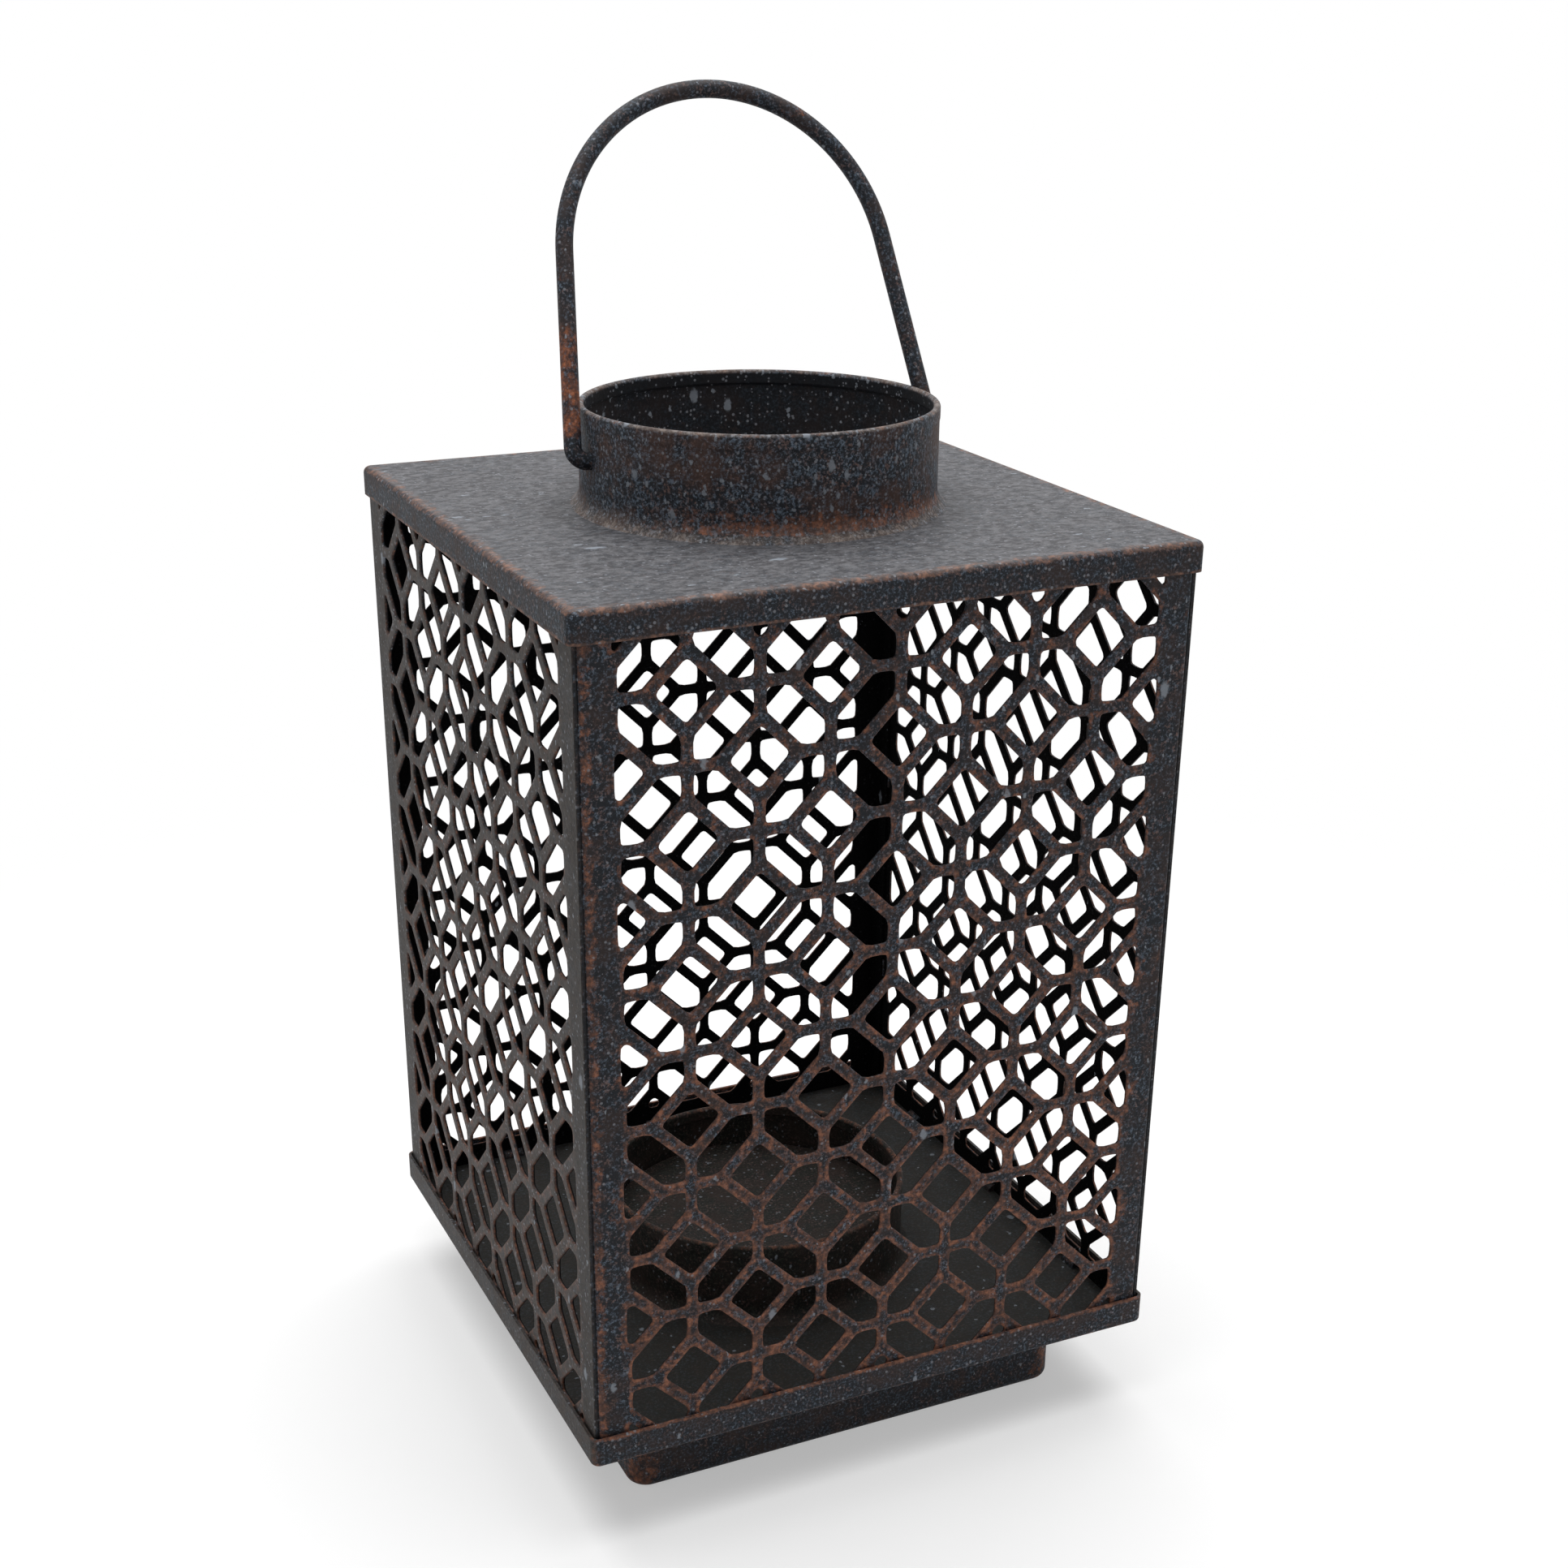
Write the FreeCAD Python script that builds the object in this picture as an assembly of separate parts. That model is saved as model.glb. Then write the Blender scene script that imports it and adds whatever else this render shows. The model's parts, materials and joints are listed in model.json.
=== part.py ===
import FreeCAD, Part
import math
import os
from FreeCAD import Vector

# Punched tin lantern. Four pierced sheet panels stand in a shallow tray on a
# smaller foot, under a flat lid with a round collar. A wire bail turns in the
# collar, and a round cup on the tray floor holds a pillar candle.
# Millimetres, +Z up. The origin is the centre of the foot's underside, and
# the front panel faces -Y.

# sheet stock
sheet = 0.8
panel_sheet = 1.0

# foot: a closed pan whose top edge turns in under the tray
foot_width = 131.4
foot_height = 25.0
foot_corner = 6.0
foot_bend = 2.5
foot_flange = 7.0

# tray that the panels stand in
tray_lip = 8.4
tray_corner = 2.4
tray_bend = 1.2
tray_gap = 0.5

# pierced body
body_width = 163.8
panel_height = 223.7
corner_bend = 1.4
corner_flange = 5.6
seam_setback = 0.7

# pierced pattern: crosses and diamonds by turns on a square lattice
pitch = 18.25
diamond_share = 0.56
arm_width = 2.9
diagonal_width = 3.2
hole_corner = 1.4
least_hole = 2.3
side_border = 9.2
end_border = 6.4

# lid
lid_skirt = 7.8
lid_corner = 2.4
lid_bend = 1.8
lid_gap = 0.5
lid_seat_gap = 0.1
lid_ledge = 2.0

# spun rings: the collar on the lid and the cup on the tray floor
collar_radius = 46.5
collar_height = 26.0
cup_radius = 43.5
cup_height = 24.5
flare_out = 2.4
flare_height = 4.7
rim_step = 0.15
rim_thickness = 1.8
rim_height = 3.4

# plate that the candle stands on, a shallow pan turned upside down
plate_height = 11.0
plate_bend = 1.2
plate_gap = 0.3

# bail of round rod
rod = 4.5
pivot_height = 14.0
pin_play = 0.1
pin_reach = 4.2
bail_bend = 3.4
bail_rise = 46.8
bail_clearance = 0.5
leg_tilt_deg = 6.9
bail_lean_deg = 22.0

# weld tacks on the inside of the joints
tack = 2.0
tack_length = 6.0
tacks_per_side = 3
tack_spread_share = 0.6
seam_tack_share = 0.5
tacks_per_ring = 4
ring_tack_share = 0.6

# how far a cut runs past what it cuts
overrun = 1.0

# levels and half widths that follow from the sizes above
tray_floor = foot_height + sheet
body_half = body_width / 2
inner_half = body_half - panel_sheet
tray_half = body_half + tray_gap + sheet
lid_half = body_half + lid_gap + sheet
panel_mid = tray_floor + panel_height / 2
panel_top = tray_floor + panel_height

# the lid's inner bend reaches a little below its underside at the panels, so
# the panels end just short of it
lid_inner_bend = max(lid_bend - sheet, 0)
bend_reach = max(lid_inner_bend - lid_gap, 0)
bend_drop = lid_inner_bend - math.sqrt(lid_inner_bend ** 2 - bend_reach ** 2)
lid_under = panel_top + bend_drop + lid_seat_gap
lid_top = lid_under + sheet
pivot_z = lid_top + pivot_height


# Blocks and pans

def edges_where(shape, test):
    return [edge for edge in shape.Edges if test(edge.BoundBox)]


# a square block with rounded upright corners, and rounded edges below and above
def rounded_block(half, low, high, corner, bottom_round, top_round):
    near = sheet / 100
    block = Part.makeBox(2 * half, 2 * half, high - low, Vector(-half, -half, low))
    if corner > 0:
        block = block.makeFillet(corner, edges_where(block, lambda box: box.ZLength > near))
    if bottom_round > 0:
        block = block.makeFillet(bottom_round, edges_where(block, lambda box: box.ZMax < low + near))
    if top_round > 0:
        block = block.makeFillet(top_round, edges_where(block, lambda box: box.ZMin > high - near))
    return block


# an open pan standing on z = 0
def square_pan(half, height, corner, bend):
    inner_corner = max(corner - sheet, 0)
    inner_bend = max(bend - sheet, 0)
    outside = rounded_block(half, 0, height, corner, bend, 0)
    inside = rounded_block(half - sheet, sheet, height + overrun, inner_corner, inner_bend, 0)
    return outside.cut(inside)


def foot_pan():
    half = foot_width / 2
    opening = half - sheet - foot_flange
    inner_corner = max(foot_corner - sheet, 0)
    inner_bend = max(foot_bend - sheet, 0)
    top_bend = 2 * sheet
    outside = rounded_block(half, 0, foot_height, foot_corner, foot_bend, top_bend)
    inside = rounded_block(half - sheet, sheet, foot_height - sheet, inner_corner, inner_bend, sheet)
    mouth = rounded_block(opening, foot_height - sheet - overrun, foot_height + overrun, 0, 0, 0)
    return outside.cut(inside).cut(mouth)


def base_tray():
    tray = square_pan(tray_half, tray_lip, tray_corner, tray_bend)
    tray.translate(Vector(0, 0, foot_height))
    return tray


def lid():
    shape = square_pan(lid_half, lid_skirt, lid_corner, lid_bend)
    shape.rotate(Vector(0, 0, 0), Vector(1, 0, 0), 180)
    shape.translate(Vector(0, 0, lid_top))
    hole_radius = collar_radius - sheet - lid_ledge
    hole = Part.makeCylinder(hole_radius, sheet + 2 * overrun, Vector(0, 0, lid_under - overrun))
    return shape.cut(hole)


# Pierced pattern

# the part of a convex polygon where a * u + b * v <= c
def clip(points, a, b, c):
    kept = []
    for index, here in enumerate(points):
        before = points[index - 1]
        d_before = a * before[0] + b * before[1] - c
        d_here = a * here[0] + b * here[1] - c
        if d_before * d_here < 0:
            t = d_before / (d_before - d_here)
            kept.append((before[0] + t * (here[0] - before[0]), before[1] + t * (here[1] - before[1])))
        if d_here <= 0:
            kept.append(here)
    return kept


def polygon_area(points):
    crosses = [points[i - 1][0] * points[i][1] - points[i][0] * points[i - 1][1] for i in range(len(points))]
    return abs(sum(crosses)) / 2


# a closed wire through a convex polygon's sides, with its corners rounded as
# far as the sides allow
def rounded_outline(points):
    corners = [Vector(u, 0, v) for u, v in points]
    count = len(corners)
    starts = []
    ends = []
    middles = []
    for index, corner in enumerate(corners):
        back = corners[index - 1] - corner
        ahead = corners[(index + 1) % count] - corner
        half_angle = back.getAngle(ahead) / 2
        room = min(back.Length, ahead.Length) / 2 * 0.96
        setback = min(hole_corner / math.tan(half_angle), room)
        radius = setback * math.tan(half_angle)
        back.normalize()
        ahead.normalize()
        bisector = (back + ahead).normalize()
        starts.append(corner + back * setback)
        ends.append(corner + ahead * setback)
        middles.append(corner + bisector * (radius / math.sin(half_angle) - radius))
    edges = []
    for index in range(count):
        edges.append(Part.Arc(starts[index], middles[index], ends[index]).toShape())
        edges.append(Part.LineSegment(ends[index], starts[(index + 1) % count]).toShape())
    return Part.Wire(edges)


# the gap between four lattice points, held off the two that carry diamonds
def gap_outline(window, u, v, diamond_first):
    arm = arm_width / 2
    gap = clip(window, -1, 0, -u - arm)
    gap = clip(gap, 0, -1, -v - arm)
    gap = clip(gap, 1, 0, u + pitch - arm)
    gap = clip(gap, 0, 1, v + pitch - arm)
    keep_off = diamond_share * pitch + diagonal_width / 2 * math.sqrt(2)
    if diamond_first:
        gap = clip(gap, -1, -1, -u - v - keep_off)
        return clip(gap, 1, 1, u + v + 2 * pitch - keep_off)
    gap = clip(gap, 1, -1, u - v + pitch - keep_off)
    return clip(gap, -1, 1, v - u + pitch - keep_off)


# the square hole inside the diamond at one lattice point
def diamond_outline(window, u, v):
    square = window
    reach = diamond_share * pitch - diagonal_width / 2 * math.sqrt(2)
    for a, b in ((1, 1), (1, -1), (-1, 1), (-1, -1)):
        square = clip(square, a, b, a * u + b * v + reach)
    return square


# every hole of one panel as a prism along +Y, about the panel's centre
def pattern_cutters(depth):
    half_u = body_half - side_border
    half_v = panel_height / 2 - end_border
    window = [(-half_u, -half_v), (half_u, -half_v), (half_u, half_v), (-half_u, half_v)]
    columns = math.ceil(half_u / pitch) + 1
    rows = math.ceil(half_v / pitch) + 1
    outlines = []
    for i in range(-columns, columns + 1):
        for j in range(-rows, rows + 1):
            has_diamond = (i + j) % 2 == 0
            if has_diamond:
                outlines.append(diamond_outline(window, i * pitch, j * pitch))
            outlines.append(gap_outline(window, i * pitch, j * pitch, has_diamond))
    kept = [points for points in outlines if len(points) > 2 and polygon_area(points) > least_hole ** 2]
    prisms = [Part.Face(rounded_outline(points)).extrude(Vector(0, depth, 0)) for points in kept]
    return Part.makeCompound(prisms)


# Panels

def turned(shape, degrees):
    copy = shape.copy()
    copy.rotate(Vector(0, 0, 0), Vector(0, 0, 1), degrees)
    return copy


def closed_wire(pieces):
    return Part.Wire([piece.toShape() for piece in pieces])


# the front panel is folded back at both sides, and the side panels lie on
# its flanges
def front_panel():
    side = inner_half
    front = -body_half
    bend_x = side - corner_bend
    bend_y = front + corner_bend
    back = bend_y + corner_flange
    inner_bend = corner_bend - panel_sheet
    skew = math.sqrt(0.5)
    right = [
        Vector(bend_x, front, 0),
        Vector(bend_x + corner_bend * skew, bend_y - corner_bend * skew, 0),
        Vector(side, bend_y, 0),
        Vector(side, back, 0),
        Vector(side - panel_sheet, back, 0),
        Vector(side - panel_sheet, bend_y, 0),
        Vector(bend_x + inner_bend * skew, bend_y - inner_bend * skew, 0),
        Vector(bend_x, front + panel_sheet, 0),
    ]
    left = [Vector(-point.x, point.y, 0) for point in right]
    section = Part.Face(closed_wire([
        Part.LineSegment(left[0], right[0]),
        Part.Arc(right[0], right[1], right[2]),
        Part.LineSegment(right[2], right[3]),
        Part.LineSegment(right[3], right[4]),
        Part.LineSegment(right[4], right[5]),
        Part.Arc(right[5], right[6], right[7]),
        Part.LineSegment(right[7], left[7]),
        Part.Arc(left[7], left[6], left[5]),
        Part.LineSegment(left[5], left[4]),
        Part.LineSegment(left[4], left[3]),
        Part.LineSegment(left[3], left[2]),
        Part.Arc(left[2], left[1], left[0]),
    ]))
    section.translate(Vector(0, 0, tray_floor))
    folded = section.extrude(Vector(0, 0, panel_height))
    cutters = pattern_cutters(panel_sheet + 2 * overrun)
    cutters.translate(Vector(0, front - overrun, panel_mid))
    return folded.cut(cutters)


# a side panel is flat and reaches nearly to the front and back faces, drawn
# here in front and turned to its side afterwards
def side_panel():
    half = body_half - seam_setback
    flat = Part.makeBox(2 * half, panel_sheet, panel_height, Vector(-half, -body_half, tray_floor))
    cutters = pattern_cutters(panel_sheet + 2 * overrun)
    cutters.translate(Vector(0, -body_half - overrun, panel_mid))
    return flat.cut(cutters)


# Spun rings

def flare_radius():
    return (flare_out ** 2 + flare_height ** 2) / (2 * flare_out)


# radius of a ring's flared foot on its inner side, at a height above its seat
def flare_inside(radius, height):
    across = math.sqrt((flare_radius() + sheet) ** 2 - (flare_height - height) ** 2)
    return radius + flare_radius() - across


# radius of the foot on its outer side
def flare_outside(radius, height):
    across = math.sqrt(flare_radius() ** 2 - (flare_height - height) ** 2)
    return radius + flare_radius() - across


# a ring standing on z = 0: a foot that flares out, an upright wall and a
# rolled rim
def spun_ring(radius, height):
    wall = radius - sheet
    rim_outside = radius + rim_step
    rim_inside = rim_outside - rim_thickness
    rim_round = rim_thickness / 2
    rim_low = height - rim_height
    rim_start = rim_low - max(rim_step, wall - rim_inside)
    mid = flare_height / 2
    section = Part.Face(closed_wire([
        Part.LineSegment(Vector(flare_inside(radius, 0), 0, 0), Vector(radius + flare_out, 0, 0)),
        Part.Arc(
            Vector(radius + flare_out, 0, 0),
            Vector(flare_outside(radius, mid), 0, mid),
            Vector(radius, 0, flare_height),
        ),
        Part.LineSegment(Vector(radius, 0, flare_height), Vector(radius, 0, rim_start)),
        Part.LineSegment(Vector(radius, 0, rim_start), Vector(rim_outside, 0, rim_low)),
        Part.LineSegment(Vector(rim_outside, 0, rim_low), Vector(rim_outside, 0, height - rim_round)),
        Part.Arc(
            Vector(rim_outside, 0, height - rim_round),
            Vector(rim_outside - rim_round, 0, height),
            Vector(rim_inside, 0, height - rim_round),
        ),
        Part.LineSegment(Vector(rim_inside, 0, height - rim_round), Vector(rim_inside, 0, rim_low)),
        Part.LineSegment(Vector(rim_inside, 0, rim_low), Vector(wall, 0, rim_start)),
        Part.LineSegment(Vector(wall, 0, rim_start), Vector(wall, 0, flare_height)),
        Part.Arc(
            Vector(wall, 0, flare_height),
            Vector(flare_inside(radius, mid), 0, mid),
            Vector(flare_inside(radius, 0), 0, 0),
        ),
    ]))
    return section.revolve(Vector(0, 0, 0), Vector(0, 0, 1), 360)


# the collar has a hole at each side for the bail's pins
def collar():
    ring = spun_ring(collar_radius, collar_height)
    ring.translate(Vector(0, 0, lid_top))
    reach = collar_radius + flare_out
    hole_radius = rod / 2 + pin_play
    holes = Part.makeCylinder(hole_radius, 2 * reach, Vector(-reach, 0, pivot_z), Vector(1, 0, 0))
    return ring.cut(holes)


def candle_ring():
    ring = spun_ring(cup_radius, cup_height)
    ring.translate(Vector(0, 0, tray_floor))
    return ring


# a disc with its top edge rounded over
def domed_disc(radius, height, bend):
    disc = Part.makeCylinder(radius, height)
    if bend > 0:
        disc = disc.makeFillet(bend, edges_where(disc, lambda box: box.ZMin > height / 2))
    return disc


def candle_plate():
    radius = cup_radius - sheet - plate_gap
    plate = domed_disc(radius, plate_height, plate_bend)
    plate = plate.cut(domed_disc(radius - sheet, plate_height - sheet, max(plate_bend - sheet, 0)))
    plate.translate(Vector(0, 0, tray_floor))
    return plate


# Bail

# The rod's centre line lies in one plane through the pivots. Each leg passes
# the collar's rim at a named clearance and leans in by its tilt, and the
# crown's arc and the bend at the pin are tangent to it.
def bail_handle():
    tilt = math.radians(leg_tilt_deg)
    rim_level = collar_height - pivot_height
    rim_side = collar_radius + rim_step + bail_clearance + rod / 2 / math.cos(tilt)
    leg_offset = rim_side * math.cos(tilt) + rim_level * math.sin(tilt)
    crown = leg_offset - bail_rise * math.sin(tilt)
    bend_x = (leg_offset - bail_bend * (1 + math.sin(tilt))) / math.cos(tilt)
    half_turn = (tilt - math.pi / 2) / 2
    right = [
        Vector(collar_radius - sheet - pin_reach, 0, 0),
        Vector(bend_x, 0, 0),
        Vector(bend_x + bail_bend * math.cos(half_turn), 0, bail_bend * (1 + math.sin(half_turn))),
        Vector(bend_x + bail_bend * math.cos(tilt), 0, bail_bend * (1 + math.sin(tilt))),
        Vector(crown * math.cos(tilt), 0, bail_rise + crown * math.sin(tilt)),
    ]
    left = [Vector(-point.x, 0, point.z) for point in right]
    top = Vector(0, 0, bail_rise + crown)
    path = closed_wire([
        Part.LineSegment(right[0], right[1]),
        Part.Arc(right[1], right[2], right[3]),
        Part.LineSegment(right[3], right[4]),
        Part.Arc(right[4], top, left[4]),
        Part.LineSegment(left[4], left[3]),
        Part.Arc(left[3], left[2], left[1]),
        Part.LineSegment(left[1], left[0]),
    ])
    section = Part.Wire([Part.makeCircle(rod / 2, right[0], Vector(1, 0, 0))])
    bail = path.makePipeShell([section], True, False)
    bail.translate(Vector(0, 0, pivot_z))
    bail.rotate(Vector(0, 0, pivot_z), Vector(1, 0, 0), -bail_lean_deg)
    return bail


# Weld tacks

# a quarter-round bead along X in the corner between the front panel's inner
# face and a level sheet below or above it
def level_bead(place, level, side):
    start = Vector(place - tack_length / 2, -inner_half, level)
    round_bar = Part.makeCylinder(tack, tack_length, start, Vector(1, 0, 0))
    low = Vector(0, 0, min(side, 0) * tack)
    return round_bar.common(Part.makeBox(tack_length, tack, tack, start + low))


# beads along the inner corner between all four panels and a level sheet
def level_tacks(level, side):
    spread = tack_spread_share * body_half
    beads = []
    for index in range(tacks_per_side):
        place = spread * (2 * index / (tacks_per_side - 1) - 1)
        for quarter in range(4):
            beads.append(turned(level_bead(place, level, side), quarter * 90))
    return Part.makeCompound(beads)


# upright beads in the step between each flange's edge and its side panel
def seam_tacks():
    radius = seam_tack_share * panel_sheet
    edge = body_half - corner_bend - corner_flange
    spread = tack_spread_share * panel_height / 2
    beads = []
    for index in range(tacks_per_side):
        low = panel_mid + spread * (2 * index / (tacks_per_side - 1) - 1) - tack_length / 2
        corner = Vector(inner_half, -edge, low)
        bar = Part.makeCylinder(radius, tack_length, corner)
        bead = bar.common(Part.makeBox(radius, radius, tack_length, corner - Vector(radius, 0, 0)))
        for quarter in range(0, 4, 2):
            beads.append(turned(bead, quarter * 90))
            beads.append(turned(bead.mirror(Vector(0, 0, 0), Vector(0, 1, 0)), quarter * 90))
    return Part.makeCompound(beads)


# beads inside a spun ring's foot, along the ring
def ring_tacks(radius, level):
    high = ring_tack_share * flare_height / 2
    outer = flare_inside(radius, 0)
    upper = Vector(flare_inside(radius, high), 0, high)
    toe = Vector(radius - sheet, 0, 0)
    crest = Vector((upper.x + toe.x) / 2, 0, (upper.z + toe.z) / 2) + Vector(-1, 0, 1) * (high / 8)
    section = Part.Face(closed_wire([
        Part.LineSegment(toe, Vector(outer, 0, 0)),
        Part.Arc(Vector(outer, 0, 0), Vector(flare_inside(radius, high / 2), 0, high / 2), upper),
        Part.Arc(upper, crest, toe),
    ]))
    angle = math.degrees(tack_length / radius)
    bead = section.revolve(Vector(0, 0, 0), Vector(0, 0, 1), angle)
    bead.translate(Vector(0, 0, level))
    count = tacks_per_ring
    return Part.makeCompound([turned(bead, 360 * index / count - angle / 2) for index in range(count)])


# Parts

def build():
    front = front_panel()
    side = side_panel()
    return {
        "foot_pan": foot_pan(),
        "base_tray": base_tray(),
        "front_panel": front,
        "back_panel": turned(front, 180),
        "right_panel": turned(side, 90),
        "left_panel": turned(side, -90),
        "lid": lid(),
        "collar": collar(),
        "candle_ring": candle_ring(),
        "candle_plate": candle_plate(),
        "bail_handle": bail_handle(),
        "tray_welds": level_tacks(tray_floor, 1),
        "lid_welds": level_tacks(lid_under, -1),
        "seam_welds": seam_tacks(),
        "collar_welds": ring_tacks(collar_radius, lid_top),
        "candle_ring_welds": ring_tacks(cup_radius, tray_floor),
    }


os.makedirs("parts", exist_ok=True)
for name, shape in build().items():
    shape.exportStep("parts/" + name + ".step")
    box = shape.BoundBox
    print(name, "solids", len(shape.Solids), "valid", shape.isValid(), "volume", round(shape.Volume, 1))
    print("  x", round(box.XMin, 2), round(box.XMax, 2), "y", round(box.YMin, 2), round(box.YMax, 2),
          "z", round(box.ZMin, 2), round(box.ZMax, 2))
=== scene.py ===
# Punched tin lantern: looks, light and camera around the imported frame.
import json
import math
import bpy
import numpy as np
from mathutils import Matrix, Vector


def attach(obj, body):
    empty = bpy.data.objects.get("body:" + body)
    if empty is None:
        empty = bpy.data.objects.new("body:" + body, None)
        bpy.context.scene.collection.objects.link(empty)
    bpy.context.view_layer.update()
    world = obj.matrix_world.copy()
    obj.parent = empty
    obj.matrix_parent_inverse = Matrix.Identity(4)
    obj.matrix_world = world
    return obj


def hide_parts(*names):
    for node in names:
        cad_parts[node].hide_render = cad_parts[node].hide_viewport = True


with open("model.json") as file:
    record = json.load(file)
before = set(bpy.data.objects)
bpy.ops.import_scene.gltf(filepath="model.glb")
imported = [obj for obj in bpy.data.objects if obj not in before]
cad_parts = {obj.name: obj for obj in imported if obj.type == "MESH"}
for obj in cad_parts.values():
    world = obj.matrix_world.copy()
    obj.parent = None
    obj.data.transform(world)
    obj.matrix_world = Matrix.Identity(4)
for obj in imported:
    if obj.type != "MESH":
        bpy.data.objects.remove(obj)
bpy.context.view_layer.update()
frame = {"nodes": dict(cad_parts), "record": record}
print("frame loaded:", len(frame["nodes"]), "nodes")


# shader node helpers

# one node with its settings; each link is a socket to join or a value to set
def addNode(tree, kind, links=None, **settings):
    node = tree.nodes.new(kind)
    for name, value in settings.items():
        setattr(node, name, value)
    for name, value in (links or {}).items():
        socket = node.inputs[name]
        if isinstance(value, bpy.types.NodeSocket):
            tree.links.new(value, socket)
        else:
            socket.default_value = value
    return node


# one number worked out from up to three others
def calc(tree, operation, first, second=0.0, third=0.0):
    return addNode(tree, "ShaderNodeMath", {0: first, 1: second, 2: third}, operation=operation).outputs[0]


# the largest of the values
def most(tree, *values):
    result = values[0]
    for value in values[1:]:
        result = calc(tree, "MAXIMUM", result, value)
    return result


# the product of the values
def times(tree, *values):
    result = values[0]
    for value in values[1:]:
        result = calc(tree, "MULTIPLY", result, value)
    return result


# a smooth step from fromValue to toValue while the input goes from low to high
def ramp(tree, value, low, high, fromValue=0.0, toValue=1.0):
    if low > high:
        low, high, fromValue, toValue = high, low, toValue, fromValue
    node = addNode(tree, "ShaderNodeMapRange", {0: value, 1: low, 2: high, 3: fromValue, 4: toValue})
    node.interpolation_type = "SMOOTHSTEP"
    return node.outputs[0]


# the first colour where the amount is 0, the second where it is 1
def mixColour(tree, amount, first, second):
    node = tree.nodes.new("ShaderNodeMix")
    node.data_type = "RGBA"
    for index, value in ((0, amount), (6, first), (7, second)):
        if isinstance(value, bpy.types.NodeSocket):
            tree.links.new(value, node.inputs[index])
        else:
            node.inputs[index].default_value = value
    return node.outputs[2]


# a screen colour in steps of 0 to 255 made linear: c / 12.92 near black, and
# ((c + 0.055) / 1.055) to the power 2.4 above that
def fromSrgb(red, green, blue):
    parts = [c / 255 for c in (red, green, blue)]
    return tuple(c / 12.92 if c <= 0.04045 else ((c + 0.055) / 1.055) ** 2.4 for c in parts) + (1.0,)


# soft noise about 0.5
def noise(tree, place, scale, detail=3.0, rough=0.55):
    return addNode(tree, "ShaderNodeTexNoise", {"Vector": place, "Scale": scale, "Detail": detail,
                                               "Roughness": rough}).outputs[0]


# pale flecks: a share of the cells of a Voronoi pattern each carry one soft
# spot, whose radius lies between a part of the given size and all of it
def flecks(tree, place, scale, share, size, smallest=0.35, edge=(0.7, 1.15)):
    cells = addNode(tree, "ShaderNodeTexVoronoi", {"Vector": place, "Scale": scale, "Randomness": 1.0})
    picked = addNode(tree, "ShaderNodeSeparateColor", {0: cells.outputs["Color"]})
    chosen = calc(tree, "LESS_THAN", picked.outputs[0], share)
    reach = ramp(tree, picked.outputs[1], 0.0, 1.0, size * smallest, size)
    spot = ramp(tree, calc(tree, "DIVIDE", cells.outputs["Distance"], reach), *edge, 1.0, 0.0)
    return calc(tree, "MULTIPLY", chosen, spot)


# object coordinates in millimetres: signed, without sign, the larger and the
# smaller of the two level ones, and the distance from the upright axis
def objectPlace(tree):
    place = addNode(tree, "ShaderNodeTexCoord").outputs["Object"]
    toMillimetres = {0: place, "Scale": 1000.0}
    scaled = addNode(tree, "ShaderNodeVectorMath", toMillimetres, operation="SCALE").outputs[0]
    parts = addNode(tree, "ShaderNodeSeparateXYZ", {0: scaled}).outputs
    absX = calc(tree, "ABSOLUTE", parts[0])
    absY = calc(tree, "ABSOLUTE", parts[1])
    spot = {"place": place, "x": parts[0], "y": parts[1], "z": parts[2], "absX": absX, "absY": absY}
    spot["farthest"] = calc(tree, "MAXIMUM", absX, absY)
    spot["nearest"] = calc(tree, "MINIMUM", absX, absY)
    squares = calc(tree, "ADD", times(tree, parts[0], parts[0]), times(tree, parts[1], parts[1]))
    spot["radius"] = calc(tree, "SQRT", squares)
    return spot


# wear, painted shade and painted sheen

# Each piece has masks from 0 to 1: where rust shows, where shade is painted dark
# on inner faces and under the lid, and where a pale film of dust and painted sheen
# lies. They are products and maxima of zones. A zone names the coordinate that it
# follows, where it starts and ends in millimetres, and the mask's values there,
# which are 0 and 1 if none are given. A number alone is a mask's value.
def zone(tree, spot, along, *limits):
    return ramp(tree, spot[along], *limits)


panelWear = {
    "rustByHeight": ("z", 60.0, 210.0, 1.0, 0.7), "frontFace": ("absY", 81.0, 81.5),
    "leftToRight": ("x", -70.0, 70.0, 1.0, 0.45), "cornerStrip": ("absX", 76.0, 79.6, 0.0, 0.66),
    "sideFace": ("absX", 81.5, 81.8), "darkBorder": ("absY", 72.4, 74.4, 0.0, 0.3),
}


# rust follows the wear attribute round the holes, and the front's upright strips; painted shade darkens the back faces
# and the side faces' borders by the corners, and the side faces carry the film of dust and painted sheen
def panelAreas(tree, spot):
    edge = addNode(tree, "ShaderNodeAttribute", attribute_name="wear").outputs["Fac"]
    inside = addNode(tree, "ShaderNodeAttribute", attribute_name="shade").outputs["Fac"]
    height = zone(tree, spot, *panelWear["rustByHeight"])
    front = times(tree, zone(tree, spot, *panelWear["frontFace"]), zone(tree, spot, *panelWear["leftToRight"]))
    strip = times(tree, zone(tree, spot, *panelWear["cornerStrip"]), front)
    side = zone(tree, spot, *panelWear["sideFace"])
    # painted shade: the side faces are darkened in strips by the corners
    border = times(tree, zone(tree, spot, *panelWear["darkBorder"]), side)
    return {"rust": most(tree, times(tree, edge, height), strip), "inside": most(tree, inside, border), "film": side}


lidWear = {
    "lowEdge": ("z", 244.1, 242.9, 0.0, 0.85), "topEdge": ("farthest", 77.2, 81.8, 0.0, 0.7),
    "upperPart": ("z", 248.6, 249.8), "corner": ("nearest", 79.7, 82.5, 0.0, 0.35),
    "behindSkirt": ("farthest", 82.5, 82.35), "underTop": ("z", 249.95, 249.75), "topFace": ("z", 250.2, 250.5),
}
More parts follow.
